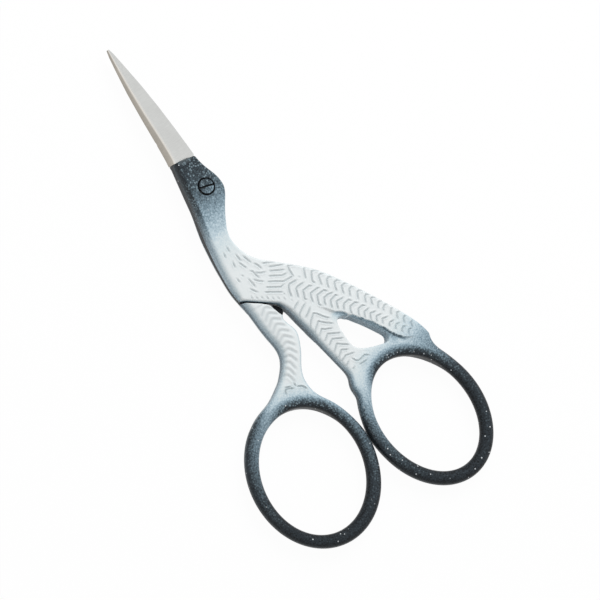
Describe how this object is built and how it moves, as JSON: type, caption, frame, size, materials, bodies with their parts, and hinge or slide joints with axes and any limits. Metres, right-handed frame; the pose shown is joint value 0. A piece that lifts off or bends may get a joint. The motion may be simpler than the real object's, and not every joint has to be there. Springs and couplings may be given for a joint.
{
  "type": "stork embroidery scissors",
  "caption": "Small needlework scissors shaped as a standing stork: the beak is the blades, body and leg are the crossed halves ending in finger eyes, held by one slotted pivot screw.",
  "frame": {"origin": "on the pivot's axis, in the flat back of the head, where the screw's point ends flush", "axes": "+Y to the blade tips, +X towards the finger eye of the body half, +Z out of the face that carries the screw's head"},
  "size_m": [0.0462, 0.0948, 0.0046],
  "materials": {
    "body_finish": "satin enamel shaded from pale blue-white to near black, bare ground steel blade",
    "leg_finish": "satin enamel shaded from pale blue-white to near black, bare ground steel blade",
    "screw_finish": "satin enamel, worn at the slot"
  },
  "bodies": {
    "leg_half": {"leg_half": "leg_finish"},
    "body_half": {"body_half": "body_finish"},
    "pivot_screw": {"pivot_screw": "screw_finish"}
  },
  "joints": [
    {"name": "scissor_pivot", "type": "hinge", "parent": "leg_half", "child": "body_half", "pos_m": [0, 0, 0.00215], "axis": [0, 0, 1], "range_deg": [0, 80]},
    {"name": "screw_turn", "type": "hinge", "parent": "leg_half", "child": "pivot_screw", "pos_m": [0, 0, 0.00215], "axis": [0, 0, 1], "range_deg": [-90, 90]}
  ]
}
